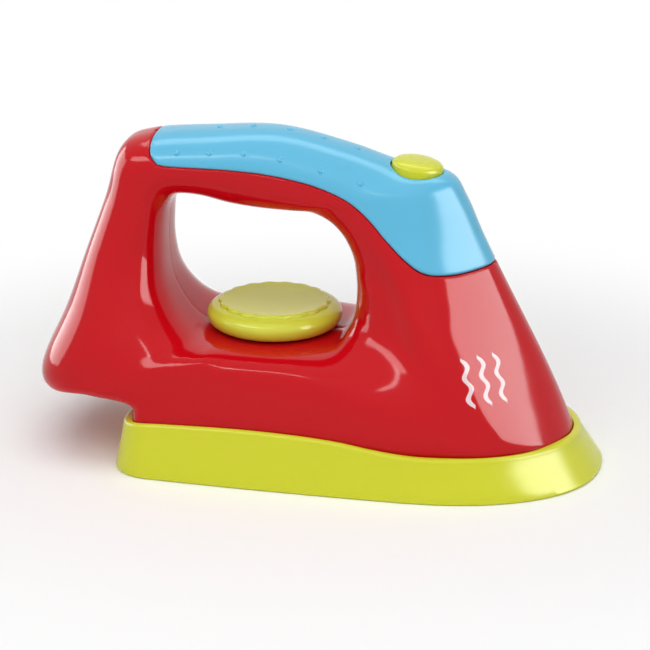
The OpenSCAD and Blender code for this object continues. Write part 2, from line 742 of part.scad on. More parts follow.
module sole_block() {
    rings = concat(
        [[sole_round, 0, 0], [sole_round * 0.3, sole_round * 0.3, 0], [0, sole_round, 0]],
        [for (k = [0 : arc_steps / 2])
            let (a = 90 * k / (arc_steps / 2))
            [rim_lean + rim_round * (1 - cos(a)), rim_round * (sin(a) - 1), 1]]);
    n = len(sole_outline(0));
    skin = [for (ring = rings,
            p = sole_outline(ring[0], ring[2] * nose_lean,
                nose_power + ring[2] * (rim_nose_power - nose_power)))
        [p[0], p[1], ring[2] * rim_top(p[0]) + ring[1]]];
    last = len(rings) - 1;
    function at(j, i) = j * n + i % n;
    half = (n - 1) / 2;
    faces = concat(
        [for (j = [0 : last - 1], i = [0 : n - 1])
            each [[at(j, i), at(j, i + 1), at(j + 1, i + 1)],
                [at(j, i), at(j + 1, i + 1), at(j + 1, i)]]],
        [for (i = [0 : half - 1])
            each [[at(0, i), at(0, n - 1 - i), at(0, n - 2 - i)],
                [at(last, i), at(last, n - 2 - i), at(last, n - 1 - i)]]],
        [for (i = [0 : half - 2])
            each [[at(0, i), at(0, n - 2 - i), at(0, i + 1)],
                [at(last, i), at(last, i + 1), at(last, n - 2 - i)]]]);
    polyhedron(skin, faces);
}

module sole_plate() {
    color([0.80, 0.84, 0.18])
        difference() {
            sole_block();
            body_form(sole_sections[0], sole_sections[1], -fit_gap, 2);
            translate([0, 0, sole_t])
                linear_extrude(seat_z - sole_t + overrun)
                    difference() {
                        polygon(sole_outline(rim_w));
                        for (place = sole_screw_places)
                            translate(place)
                                circle(r = sole_post_r, $fn = fine);
                    }
            for (place = sole_screw_places)
                translate([place[0], place[1], -overrun]) {
                    cylinder(r = pass_r, h = seat_z + 2 * overrun, $fn = fine);
                    cylinder(r = well_r, h = seat_z - sole_clamp_t + overrun, $fn = fine);
                }
            for (side = [-1, 1], k = [1 : vents])
                let (p = sole_edge(vent_in)[len(sole_edge(0)) - 1 - 2 * k])
                translate([p[0], side * p[1], -overrun])
                    cylinder(r = vent_r, h = vent_depth + overrun, $fn = fine);
        }
}

// Screws

module body_screws() {
    for (place = body_screw_places)
        translate([place[0], clamp_t, place[1]])
            rotate([-90, 0, 0])
                screw(screw_l);
}

module handle_screws() {
    for (place = handle_screw_places)
        translate([place[0], clamp_t, place[1]])
            rotate([-90, 0, 0])
                screw(screw_l);
}

module sole_screws() {
    for (place = sole_screw_places)
        translate([place[0], place[1], seat_z - sole_clamp_t])
            rotate([180, 0, 0])
                screw(short_screw_l);
}

shell_right();
shell_left();
grip_cover();
spray_button();
button_spring();
button_washer();
button_screw();
dial_knob();
click_wheel();
click_spring();
dial_washer();
dial_screw();
sole_plate();
body_screws();
handle_screws();
sole_screws();
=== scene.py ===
"""The looks of a toy iron: two red body halves round a finger opening, a blue grip cover with
a sprung lime button, a click dial on the deck and a lime sole. Sizes are in metres."""

from math import cos, hypot, pi, radians, sin

import bmesh
import bpy
import numpy as np
from mathutils import Matrix, Vector
from mathutils.bvhtree import BVHTree


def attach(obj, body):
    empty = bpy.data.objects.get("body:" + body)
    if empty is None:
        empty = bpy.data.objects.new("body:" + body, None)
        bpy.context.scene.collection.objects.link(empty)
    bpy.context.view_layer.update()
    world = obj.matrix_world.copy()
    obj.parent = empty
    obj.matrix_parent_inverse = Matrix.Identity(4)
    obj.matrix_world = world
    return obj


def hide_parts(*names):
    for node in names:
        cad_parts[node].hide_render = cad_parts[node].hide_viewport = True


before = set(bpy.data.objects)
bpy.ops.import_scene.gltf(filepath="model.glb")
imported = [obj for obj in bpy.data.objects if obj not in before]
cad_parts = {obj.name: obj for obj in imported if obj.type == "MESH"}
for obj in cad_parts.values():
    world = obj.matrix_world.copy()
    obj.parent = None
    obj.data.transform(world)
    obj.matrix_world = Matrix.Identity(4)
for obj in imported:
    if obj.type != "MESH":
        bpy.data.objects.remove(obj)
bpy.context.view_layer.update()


# Body halves
# Two glossy red shells of moulded plastic, joined on the middle plane by screws from the left.
# Their form is a ring of sections round the finger opening, cut where the grip cover fits.

iron_length = 0.178
iron_width = 0.084
iron_height = 0.105
shell_wall = 0.002
fit_gap = 0.00025
seat_height = 0.009
body_base = seat_height + fit_gap
body_height = iron_height - body_base
half_rim_round = 0.00012
half_gap = 0.00001
seam_round = 0.0009
seam_gap = 0.00012
middle_reach = 3 * half_rim_round

# Fineness of the skin and of the rims
rows_per_section = 7
half_columns = 64
samples_per_column = 6
corner_weight = 0.006
steps_per_span = 12
rim_steps = 6
snap_share = 0.22
halvings = 18
steepest_turn = 0.6
least_length = 1e-9
merge_distance = 1e-6

# Wells of the screws, and the bosses round them
well_radius = 0.00305
well_floor = 0.005
boss_radius = 0.00445
boss_end = 0.0004
screw_reach = 2.5 * boss_radius
side_facing = 0.2

# Print on the right side of the nose
print_middle = Vector((0.0560, -0.0250, 0.0360))
print_across = Vector((0.76, 0.65, 0))
print_up = Vector((-0.26, 0.30, 0.92))
line_spacing = 0.0058
line_length = 0.0165
line_width = 0.0016
wave_length = 0.0066
wave_width = 0.0008
line_count = 3
ink_edge = 0.0001
ink_colour = (0.82, 0.66, 0.68)

# Finish of the gloss plastics: clouds of colour, handling marks and mould texture
cloud_scale = 34
mark_scale = 160
marks_start = 0.35
marks_end = 0.75
marks_roughen = 0.04
peel_scale = 520
peel_strength = 0.014
peel_depth = 0.0004

# Sections round the opening from the middle of the deck: inner edge x and z, outer edge x
# and z, half-width inside, midway and outside, and squareness at the inner and outer edge
section_shares = np.array([
    [-0.112,  0.324, -0.067,  0.000, 0.400, 0.430, 0.434, 7.0, 9.0],
    [-0.034,  0.324,  0.079,  0.000, 0.400, 0.434, 0.438, 7.0, 9.0],
    [ 0.034,  0.328,  0.213,  0.000, 0.370, 0.434, 0.430, 6.0, 9.0],
    [ 0.058,  0.374,  0.326,  0.000, 0.290, 0.417, 0.385, 4.5, 8.0],
    [ 0.066,  0.426,  0.404,  0.000, 0.240, 0.393, 0.290, 4.0, 6.0],
    [ 0.067,  0.473,  0.447,  0.018, 0.215, 0.375, 0.200, 4.0, 3.0],
    [ 0.067,  0.512,  0.431,  0.122, 0.205, 0.350, 0.170, 4.0, 2.4],
    [ 0.065,  0.557,  0.399,  0.258, 0.198, 0.315, 0.150, 4.0, 2.2],
    [ 0.060,  0.601,  0.363,  0.390, 0.192, 0.275, 0.140, 3.6, 2.2],
    [ 0.050,  0.645,  0.321,  0.540, 0.186, 0.240, 0.135, 3.4, 2.2],
    [ 0.034,  0.687,  0.284,  0.678, 0.180, 0.214, 0.135, 3.2, 2.2],
    [ 0.009,  0.722,  0.254,  0.800, 0.175, 0.196, 0.145, 3.0, 2.3],
    [-0.025,  0.742,  0.223,  0.875, 0.172, 0.186, 0.155, 2.8, 2.4],
    [-0.065,  0.742,  0.140,  0.900, 0.170, 0.182, 0.165, 2.8, 2.4],
    [-0.112,  0.742,  0.040,  0.956, 0.167, 0.182, 0.167, 2.8, 2.4],
    [-0.163,  0.751, -0.080,  1.000, 0.167, 0.182, 0.167, 2.8, 2.4],
    [-0.214,  0.772, -0.205,  0.987, 0.167, 0.182, 0.167, 2.8, 2.4],
    [-0.254,  0.772, -0.316,  0.962, 0.167, 0.184, 0.165, 3.0, 2.6],
    [-0.274,  0.729, -0.361,  0.914, 0.170, 0.190, 0.165, 3.2, 2.8],
    [-0.280,  0.651, -0.386,  0.761, 0.178, 0.210, 0.175, 3.4, 3.0],
    [-0.280,  0.568, -0.422,  0.573, 0.195, 0.250, 0.210, 3.6, 3.2],
    [-0.272,  0.474, -0.456,  0.390, 0.240, 0.315, 0.250, 4.0, 3.4],
    [-0.248,  0.390, -0.497,  0.205, 0.300, 0.375, 0.320, 5.0, 3.8],
    [-0.218,  0.338, -0.484,  0.119, 0.350, 0.395, 0.335, 6.0, 4.0],
    [-0.189,  0.324, -0.405,  0.125, 0.385, 0.410, 0.385, 7.0, 5.0],
    [-0.165,  0.324, -0.316,  0.116, 0.398, 0.415, 0.408, 7.0, 8.0],
    [-0.145,  0.324, -0.307,  0.045, 0.400, 0.415, 0.415, 7.0, 9.0],
    [-0.130,  0.324, -0.270,  0.000, 0.400, 0.420, 0.422, 7.0, 9.0]])
# Hollows where the columns run into the body: section in the middle, sections to each side,
# place across the section, spread across it, and depth as a share of the width
hollow_shares = np.array([[6.4, 2.6, 0.22, 0.12, 0.040], [20.8, 1.6, 0.30, 0.14, 0.012]])
# Side view of the joint line under the grip cover
seam_shares = np.array([
    [-0.312, 1.134], [-0.298, 0.953], [-0.284, 0.905], [-0.268, 0.892], [-0.215, 0.891],
    [-0.144, 0.890], [-0.074, 0.881], [-0.003, 0.856], [0.053, 0.817], [0.094, 0.763],
    [0.129, 0.698], [0.165, 0.639], [0.199, 0.601], [0.242, 0.590], [0.283, 0.592],
    [0.340, 0.601], [0.450, 0.612]])

# Body and handle screws, seen from the side
screw_shares = np.array([
    [0.290, 0.202], [0.190, 0.479], [-0.350, 0.258], [-0.345, 0.612], [-0.180, 0.823], [0.045, 0.762]])

side_scale = np.array([iron_length, body_height])
side_start = np.array([0, body_base])
sections = section_shares.copy()
sections[:, 0:2] = side_start + sections[:, 0:2] * side_scale
sections[:, 2:4] = side_start + sections[:, 2:4] * side_scale
sections[:, 4:7] *= iron_width


def smooth(a, b, c, d, t):
    """A smooth curve from b to c that heads for the neighbours a and d."""
    return 0.5 * (2 * b + (c - a) * t + (2 * a - 5 * b + 4 * c - d) * t * t
                  + (3 * b - a - 3 * c + d) * t * t * t)


def smooth_line(rows, steps):
    """The rows of a table joined by a smooth curve that runs through each."""
    last = len(rows) - 1
    line = [smooth(rows[max(i - 1, 0)], rows[i], rows[i + 1], rows[min(i + 2, last)], k / steps)
            for i in range(last) for k in range(steps)]
    return np.array(line + [rows[last]])


def section_at(t):
    """The section at a place along the ring, and the depths of the hollows there."""
    count = len(sections)
    i = int(t) % count
    near = [sections[(i + k) % count] for k in (-1, 0, 1, 2)]
    depths = hollow_shares[:, 4] * iron_width * np.exp(
        -((t % count - hollow_shares[:, 0]) / hollow_shares[:, 1]) ** 2)
    return smooth(*near, t % 1), depths


def section_points(t, angles, inset):
    """Points of a section at angles from its inner edge (0) to its outer edge (pi)."""
    s, depths = section_at(t)
    inner, outer = s[0:2], s[2:4]
    wide_inner, wide_midway, wide_outer, square_inner, square_outer = s[4:9]
    across = (outer - inner) / np.linalg.norm(outer - inner)
    power = 2 / np.where(np.cos(angles) > 0, square_inner, square_outer)
    u = (1 - np.sign(np.cos(angles)) * np.abs(np.cos(angles)) ** power) / 2
    hollow = sum(depth * np.exp(-((u - place) / spread) ** 2)
                 for depth, (place, spread) in zip(depths, hollow_shares[:, 2:4]))
    wide = (wide_inner * (1 - u) * (1 - 2 * u) + wide_midway * 4 * u * (1 - u)
            + wide_outer * u * (2 * u - 1) - hollow)
    y = (wide - inset) * np.abs(np.sin(angles)) ** power
    side = (inner + across * inset)[None, :] + u[:, None] * (outer - inner - 2 * across * inset)
    return np.stack([side[:, 0], y, side[:, 1]], 1)


def section_ring(t, inset):
    """A whole closed section, its points closer together where it turns."""
    angles = np.linspace(0, pi, samples_per_column * half_columns + 1)
    points = section_points(t, angles, 0)
    steps = np.diff(points, axis=0)
    lengths = np.linalg.norm(steps, axis=1)
    ways = steps / np.maximum(lengths, least_length)[:, None]
    turns = np.arccos(np.clip((ways[1:] * ways[:-1]).sum(1), -1, 1))
    weight = lengths + corner_weight * np.append(turns, 0)
    along = np.concatenate([[0], np.cumsum(weight)])
    even = np.interp(np.linspace(0, along[-1], half_columns + 1), along, angles)
    half = section_points(t, even, inset)
    half[[0, -1], 1] = 0
    return np.concatenate([half, half[-2:0:-1] * [1, -1, 1]])


def sweep_rings(bm, rings, closed):
    """A skin through rings of points, made by extruding each ring on to the next."""
    count = len(rings[0])
    ring = bmesh.ops.create_circle(bm, segments=count, radius=1)["verts"]
    for v, p in zip(ring, rings[0]):
        v.co = p
    rows = [ring]
    for points in (rings[1:] + rings[:1] if closed else rings[1:]):
        edges = [bm.edges.get((ring[i], ring[(i + 1) % count])) for i in range(count)]
        made = bmesh.ops.extrude_edge_only(bm, edges=edges)["geom"]
        new = {v for v in made if isinstance(v, bmesh.types.BMVert)}
        ring = [next(w for w in (e.other_vert(v) for e in v.link_edges) if w in new) for v in ring]
        for v, p in zip(ring, points):
            v.co = p
        rows.append(ring)
    return rows


def signed_seam_distance(points):
    """How far points lie inside the grip cover's side view, and negative outside it."""
    p = points[:, [0, 2]]
    a, b = seam_line[:-1], seam_line[1:]
    ab = b - a
    share = np.clip(((p[:, None] - a) * ab).sum(2) / (ab * ab).sum(1), 0, 1)
    away = np.linalg.norm(p[:, None] - a - share[..., None] * ab, axis=2).min(1)
    height = np.interp(p[:, 0], seam_line[seam_corner:, 0], seam_line[seam_corner:, 1])
    back = np.interp(p[:, 1], seam_line[seam_corner::-1, 1], seam_line[seam_corner::-1, 0])
    inside = (p[:, 1] > height) & (p[:, 0] > back)
    return np.where(inside, away, -away)


def cut_along(bm, level, faces=None):
    """Cut a skin along the line where level is 0, and take away what lies above 0."""
    faces = list(faces if faces is not None else bm.faces)
    edges = list({e for f in faces for e in f.edges})
    verts = list({v for e in edges for v in e.verts})
    value = dict(zip(verts, level(np.array([v.co for v in verts]))))
    crossed = [e for e in edges if value[e.verts[0]] * value[e.verts[1]] < 0]
    start = np.array([e.verts[0].co for e in crossed])
    end = np.array([e.verts[1].co for e in crossed])
    rising = np.array([value[e.verts[0]] < 0 for e in crossed])
    low, high = np.zeros(len(crossed)), np.ones(len(crossed))
    for _ in range(halvings):
        middle = (low + high) / 2
        above = level(start + middle[:, None] * (end - start)) > 0
        before = above == rising
        high = np.where(before, middle, high)
        low = np.where(before, low, middle)
    share = (low + high) / 2
    moves = {}
    for e, f in zip(crossed, share):
        v, near = (e.verts[0], f) if f < 0.5 else (e.verts[1], 1 - f)
        far = e.other_vert(v)
        shift = near * (far.co - v.co).length
        if near < snap_share and (v not in moves or shift < moves[v][0]):
            moves[v] = (shift, near, far)
    inside = bm.verts.layers.float_vector.get("inside")
    targets = {v: (v.co.lerp(far.co, near), v[inside].lerp(far[inside], near) if inside else None)
               for v, (_, near, far) in moves.items()}
    for v, (place, inner) in targets.items():
        v.co = place
        if inside:
            v[inside] = inner
        value[v] = 0
    for e, f in zip(crossed, share):
        if value[e.verts[0]] * value[e.verts[1]] < 0:
            _, v = bmesh.utils.edge_split(e, e.verts[0], f)
            value[v] = 0
    line = [v for v in value if value[v] == 0]
    bmesh.ops.connect_verts(bm, verts=line)
    beyond = [f for f in {f for v in line for f in v.link_faces} | set(faces)
              if f.is_valid and all(v in value for v in f.verts)
              and max((value[v] for v in f.verts), key=abs) > 0]
    bmesh.ops.delete(bm, geom=beyond, context="FACES")
    line = {v for v in line if v.is_valid}
    return [e for v in line for e in v.link_edges
            if e.is_boundary and e.verts[0] == v and e.other_vert(v) in line]


def rim_frames(edges):
    """For each point of open edges: its place, its normal, and the way out past the edge."""
    around = {}
    for e in edges:
        for v in e.verts:
            around.setdefault(v, []).append(e.other_vert(v))
    frames = {}
    for v, near in around.items():
        n = sum((f.normal * f.calc_area() for f in v.link_faces), Vector()).normalized()
        ways = []
        for w in near:
            face = next(f for e in v.link_edges if e.other_vert(v) == w for f in e.link_faces)
            out = (w.co - v.co).cross(n).normalized()
            ways.append(out if out.dot(face.calc_center_median() - v.co) < 0 else -out)
        out = sum(ways, Vector()).normalized()
        frames[v] = (v.co.copy(), n, out / max(out.dot(ways[0]), steepest_turn))
    return frames


def extrude_rim(bm, ring, place):
    """Extrude a ring of open edges, each point to where place says, and give the new ring."""
    edges, origin = ring
    made = bmesh.ops.extrude_edge_only(bm, edges=edges)["geom"]
    new_verts = {g for g in made if isinstance(g, bmesh.types.BMVert)}
    new_origin = {}
    for v, first in origin.items():
        w = next(w for w in (e.other_vert(v) for e in v.link_edges) if w in new_verts)
        new_origin[w] = first
    for w, first in new_origin.items():
        w.co = place(first)
    new_edges = [g for g in made if isinstance(g, bmesh.types.BMEdge)
                 and g.verts[0] in new_origin and g.verts[1] in new_origin]
    return new_edges, new_origin


def roll_rim(bm, edges, radius_at):
    """Round the open edges of a skin outwards and down; gives the last ring and the frames."""
    frames = rim_frames(edges)
    radius = {v: radius_at(frames[v][0]) for v in frames}
    ring = (edges, {v: v for v in frames})
    for k in range(1, rim_steps + 1):
        a = pi / 2 * k / rim_steps
        ring = extrude_rim(bm, ring, lambda v: frames[v][0] + frames[v][2] * radius[v] * sin(a)
                           - frames[v][1] * radius[v] * (1 - cos(a)))
    return ring, frames


def make_shell(bm, radius_at):
    """Give a skin its wall: rounded rims, and an inner skin where each point's inside says."""
    inside = bm.verts.layers.float_vector["inside"]
    bmesh.ops.recalc_face_normals(bm, faces=bm.faces)
    skin = list(bm.faces)
    edges = [e for e in bm.edges if e.is_boundary]
    copied = bmesh.ops.duplicate(bm, geom=skin)["geom"]
    inner_faces = [g for g in copied if isinstance(g, bmesh.types.BMFace)]
    for v in {v for f in inner_faces for v in f.verts}:
        v.co = v[inside]
    bmesh.ops.reverse_faces(bm, faces=inner_faces)
    depth = {v: v[inside].copy() for e in edges for v in e.verts}
    ring, frames = roll_rim(bm, edges, radius_at)
    ring = extrude_rim(bm, ring, lambda v: depth[v] + frames[v][2] * radius_at(frames[v][0]))
    ring = extrude_rim(bm, ring, lambda v: depth[v])
    open_verts = {v for e in bm.edges if e.is_boundary for v in e.verts}
    bmesh.ops.remove_doubles(bm, verts=list(open_verts), dist=merge_distance)
    bmesh.ops.recalc_face_normals(bm, faces=bm.faces)


def finish_mesh(bm, name, material, body, sharp_angle=radians(50)):
    """Turn a bmesh into a smooth-shaded piece that rides on a body."""
    mesh = bpy.data.meshes.new(name)
    bm.to_mesh(mesh)
    bm.free()
    mesh.shade_smooth()
    mesh.set_sharp_from_angle(angle=sharp_angle)
    mesh.materials.append(material)
    piece = bpy.data.objects.new(name, mesh)
    bpy.context.scene.collection.objects.link(piece)
    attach(piece, body)
    return piece


def new_material(name):
    """A new material, with its node tree and its shader."""
    material = bpy.data.materials.new(name)
    material.use_nodes = True
    return material, material.node_tree, material.node_tree.nodes["Principled BSDF"]


def feed(tree, socket, value):
    """Give an input a plain value, or link the output of another node to it."""
    if isinstance(value, bpy.types.NodeSocket):
        tree.links.new(value, socket)
    else:
        socket.default_value = value


def add_place(tree):
    """The Object coordinates of the shaded point."""
    return tree.nodes.new("ShaderNodeTexCoord").outputs["Object"]


def add_noise(tree, place, scale, detail, roughness=0.5):
    """A noise texture over a place."""
    node = tree.nodes.new("ShaderNodeTexNoise")
    feed(tree, node.inputs["Vector"], place)
    feed(tree, node.inputs["Scale"], scale)
    feed(tree, node.inputs["Detail"], detail)
    feed(tree, node.inputs["Roughness"], roughness)
    return node.outputs["Fac"]


def add_mix(tree, share, first, second):
    """The first colour, gone over to the second by a share."""
    node = tree.nodes.new("ShaderNodeMix")
    node.data_type = "RGBA"
    feed(tree, node.inputs["Factor"], share)
    feed(tree, node.inputs["A"], first)
    feed(tree, node.inputs["B"], second)
    return node.outputs["Result"]


def add_range(tree, value, start=0, end=1, low=0, high=1, kind="LINEAR"):
    """A value that runs from start to end, mapped to run from low to high."""
    node = tree.nodes.new("ShaderNodeMapRange")
    node.interpolation_type = kind
    feed(tree, node.inputs["Value"], value)
    feed(tree, node.inputs["From Min"], start)
    feed(tree, node.inputs["From Max"], end)
    feed(tree, node.inputs["To Min"], low)
    feed(tree, node.inputs["To Max"], high)
    return node.outputs["Result"]


def gloss_plastic(name, colour, shade, roughness, specular):
    """Moulded gloss plastic: faint clouds of colour, a soft mould texture and fine handling marks."""
    material, tree, shader = new_material(name)
    place = add_place(tree)
    clouds = add_noise(tree, place, cloud_scale, detail=4)
    marks = add_noise(tree, place, mark_scale, detail=6, roughness=0.7)
    peel = add_noise(tree, place, peel_scale, detail=2)
    worn = add_range(tree, marks, marks_start, marks_end, low=roughness, high=roughness + marks_roughen)
    bump = tree.nodes.new("ShaderNodeBump")
    feed(tree, bump.inputs["Strength"], peel_strength)
    feed(tree, bump.inputs["Distance"], peel_depth)
    feed(tree, bump.inputs["Height"], peel)
    feed(tree, shader.inputs["Base Color"], add_mix(tree, clouds, (*colour, 1), (*shade, 1)))
    feed(tree, shader.inputs["Roughness"], worn)
    feed(tree, shader.inputs["Normal"], bump.outputs["Normal"])
    feed(tree, shader.inputs["IOR"], 1.5)
    feed(tree, shader.inputs["Specular IOR Level"], specular)
    return material


# The joint line's corner under the cover's rear edge: its point furthest down and back within
# the line's first spans
corner_spans = 5
corner_way = np.array([0.6, 1])
seam_line = side_start + smooth_line(seam_shares, steps_per_span) * side_scale
seam_corner = int(np.argmin(seam_line[:corner_spans * steps_per_span] @ corner_way))

red = gloss_plastic("red_gloss_plastic", colour=(0.56, 0.003, 0.008), shade=(0.54, 0.002, 0.007),
                    roughness=0.09, specular=0.20)


def body_skin():
    """The whole skin of the body form, with each point's place on the inside of the wall."""
    bm = bmesh.new()
    inside = bm.verts.layers.float_vector.new("inside")
    places = np.arange(0, len(sections), 1 / rows_per_section)
    rows = sweep_rings(bm, [section_ring(t, 0) for t in places], True)
    for row, t in zip(rows, list(places) + [0]):
        for v, p in zip(row, section_ring(t, shell_wall)):
            v[inside] = p
    bmesh.ops.remove_doubles(bm, verts=bm.verts, dist=merge_distance)
    bmesh.ops.recalc_face_normals(bm, faces=bm.faces)
    return bm


def sink_well(bm, x, z):
    """A screw's round well in the left half, and the boss round it inside."""
    def near_screw(way):
        """The faces round the screw's line on the outside (way 1) or the inside (way -1)."""
        middles = {f: f.calc_center_median() for f in bm.faces if f.normal.y * way > side_facing}
        return [f for f, p in middles.items() if p.y > well_floor and hypot(p.x - x, p.z - z) < screw_reach]

    def from_screw(p):
        """How far points are from the screw's line."""
        return np.hypot(p[:, 0] - x, p[:, 2] - z)

    def on_circle(v, radius, y):
        """Where a rim's point goes on a circle round the screw's line."""
        way = Vector((frames[v][0].x - x, 0, frames[v][0].z - z)).normalized()
        return Vector((x, y, z)) + way * radius

    mouth = cut_along(bm, lambda p: well_radius + half_rim_round - from_screw(p), near_screw(1))
    ring, frames = roll_rim(bm, mouth, lambda p: half_rim_round)
    ring = extrude_rim(bm, ring, lambda v: on_circle(v, well_radius, well_floor))
    bmesh.ops.contextual_create(bm, geom=ring[0])
    foot = cut_along(bm, lambda p: boss_radius - from_screw(p), near_screw(-1))
    frames = rim_frames(foot)
    ring = (foot, {v: v for v in frames})
    ring = extrude_rim(bm, ring, lambda v: on_circle(v, boss_radius, boss_end))
    bmesh.ops.contextual_create(bm, geom=ring[0])


def half_rim_radius(p):
    """The rounding of a half's rim: slight on the middle plane, and fuller along the grip cover."""
    return half_rim_round if abs(p.y) < middle_reach else seam_round


def body_half(side):
    """One half of the body, whose side is 1 on the left and -1 on the right."""
    bm = body_skin()
    cut_along(bm, lambda p: half_gap + half_rim_round - side * p[:, 1])
    cut_along(bm, lambda p: signed_seam_distance(p) + seam_gap / 2 + seam_round)
    make_shell(bm, half_rim_radius)
    if side > 0:
        for place in screw_shares:
            x, z = side_start + place * side_scale
            sink_well(bm, x, z)
        bmesh.ops.recalc_face_normals(bm, faces=bm.faces)
    return bm


def add_math(tree, operation, *values):
    """The output of a Math node on plain numbers and other nodes' outputs."""
    node = tree.nodes.new("ShaderNodeMath")
    node.operation = operation
    for socket, value in zip(node.inputs, values):
        feed(tree, socket, value)
    return node.outputs[0]


def steam_print(plain):
    """A copy of a plastic with a white print of three wavy lines of steam on the nose's right side."""
    material = plain.copy()
    material.name = "red_gloss_plastic_printed"
    tree = material.node_tree
    place = add_place(tree)

    def along(way):
        """How far a point lies from the print's middle along a way."""
        node = tree.nodes.new("ShaderNodeVectorMath")
        node.operation = "DOT_PRODUCT"
        feed(tree, node.inputs[0], place)
        feed(tree, node.inputs[1], way)
        return add_math(tree, "SUBTRACT", node.outputs["Value"], print_middle.dot(way))

    across, up = along(print_across), along(print_up)
    from_middle = add_math(tree, "ABSOLUTE", up)
    wave = add_math(tree, "SINE", add_math(tree, "MULTIPLY", up, 2 * pi / wave_length))
    shifted = add_math(tree, "ADD", across, add_math(tree, "MULTIPLY", wave, wave_width))
    to_line = add_math(tree, "PINGPONG", shifted, line_spacing / 2)
    thinning = add_range(tree, from_middle, start=line_length / 2 - line_width, end=line_length / 2,
                         low=1, high=0, kind="SMOOTHSTEP")
    past_edge = add_math(tree, "SUBTRACT", to_line, add_math(tree, "MULTIPLY", thinning, line_width / 2))
    ink = add_range(tree, past_edge, start=-ink_edge, end=ink_edge, low=1, high=0, kind="SMOOTHSTEP")
    for away, reach in ((add_math(tree, "ABSOLUTE", across), line_count / 2 * line_spacing),
                        (from_middle, line_length / 2)):
        ink = add_math(tree, "MULTIPLY", ink, add_math(tree, "LESS_THAN", away, reach))
    base = tree.nodes["Principled BSDF"].inputs["Base Color"]
    feed(tree, base, add_mix(tree, ink, base.links[0].from_socket, (*ink_colour, 1)))
    return material


right_half = finish_mesh(body_half(-1), "body_half_right", steam_print(red), "casing")
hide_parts("shell_right")
left_half = finish_mesh(body_half(1), "body_half_left", red, "casing")
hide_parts("shell_left")


# Grip cover
# A light blue cap of glossy plastic over the handle, from behind the grip down to the nose.
# It has raised dots for grip, and a round hole for the spray button.

button_radius = 0.0081
button_section = 12.72
hole_round = 0.0004
hole_reach = 1.5 * button_radius
dot_radius = 0.001
dot_height = 0.0005
dot_foot = shell_wall / 2
dot_arc = np.linspace(0, 2 * pi / 5, 5)
dot_sides = 24
# Steps of section and of degrees over which the slope of the body form is measured
section_step = 1 / 6
angle_step = 9
# The dots of a row by section, and the rows by their angle round the grip
side_dots = [13.16, 13.94, 14.64, 15.24, 15.8, 16.36]
top_dots = [13.82, 14.35, 14.84, 15.36, 15.84]
dot_rows = [(119, side_dots), (180, top_dots), (241, side_dots)]


def form_point(t, degrees):
    """A point of the body form at a section and an angle up to 360."""
    p = section_points(t, np.array([radians(min(degrees, 360 - degrees))]), 0)[0]
    return Vector((p[0], p[1] if degrees < 180 else -p[1], p[2]))


def way_out(t, degrees):
    """The way square out of the body form at a section and an angle."""
    along = form_point(t + section_step, degrees) - form_point(t - section_step, degrees)
    across = form_point(t, degrees + angle_step) - form_point(t, degrees - angle_step)
    return along.cross(across).normalized()


def stand_on(bm, verts, foot, out):
    """Turn new points from the +Z axis to the way out, and move them to their foot."""
    turn = Vector((0, 0, 1)).rotation_difference(out)
    bmesh.ops.transform(bm, verts=verts, matrix=Matrix.Translation(foot) @ turn.to_matrix().to_4x4())


def spin_profile(bm, profile, steps):
    """A closed turned shape from a profile of radius and height, first and last on the axis."""
    verts = [bm.verts.new((r, 0, z)) for r, z in profile]
    edges = [bm.edges.new(pair) for pair in zip(verts, verts[1:])]
    bmesh.ops.spin(bm, geom=verts + edges, cent=(0, 0, 0), axis=(0, 0, 1), dvec=(0, 0, 0),
                   angle=2 * pi, steps=steps, use_merge=True)
    bmesh.ops.remove_doubles(bm, verts=bm.verts, dist=merge_distance)
    bmesh.ops.recalc_face_normals(bm, faces=bm.faces)
    return list(bm.verts)


button_foot = form_point(button_section, 180)
grip_ahead = (form_point(button_section - 2 * section_step, 180)
              - form_point(button_section + 2 * section_step, 180))
button_way = Vector((-grip_ahead.z, 0, grip_ahead.x)).normalized()

blue = gloss_plastic("blue_gloss_plastic", colour=(0.118, 0.485, 0.712), shade=(0.110, 0.472, 0.70),
                     roughness=0.20, specular=0.25)


def from_axis(points, foot, way):
    """How far points are from a line."""
    away = points - np.array(foot)
    return np.linalg.norm(away - np.outer(away @ np.array(way), np.array(way)), axis=1)


def cover_rim_radius(p):
    """The rounding of the cover's rim: small round the button's hole, fuller along the body."""
    return hole_round if (p - button_foot).length < hole_reach else seam_round


def cover_shell():
    """The cover: the part of the body's skin above the joint line, with the button's hole."""
    bm = body_skin()
    cut_along(bm, lambda p: seam_gap / 2 + seam_round - signed_seam_distance(p))
    cut_along(bm, lambda p: button_radius + fit_gap + hole_round - from_axis(p, button_foot, button_way))
    make_shell(bm, cover_rim_radius)
    return bm


def grip_dots():
    """Low round dots on the grip, one spun dome copied to each place."""
    profile = [(0, -dot_foot), (dot_radius, -dot_foot)]
    profile += [(dot_radius * cos(a), dot_height * sin(a)) for a in dot_arc]
    profile += [(0, dot_height)]
    whole = bmesh.new()
    for degrees, places in dot_rows:
        for t in places:
            bm = bmesh.new()
            verts = spin_profile(bm, profile, dot_sides)
            stand_on(bm, verts, form_point(t, degrees), way_out(t, degrees))
            mesh = bpy.data.meshes.new("dot")
            bm.to_mesh(mesh)
            bm.free()
            whole.from_mesh(mesh)
            bpy.data.meshes.remove(mesh)
    return whole


cover = finish_mesh(cover_shell(), "grip_cover_shell", blue, "casing")
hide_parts("grip_cover")
finish_mesh(grip_dots(), "grip_cover_dots", blue, "casing")


# Spray button
# A fat round button of lime plastic with a domed top. It sinks into its pocket in the cover
# and a coil spring lifts it again. Its stem, washer and screw are inside the handle.

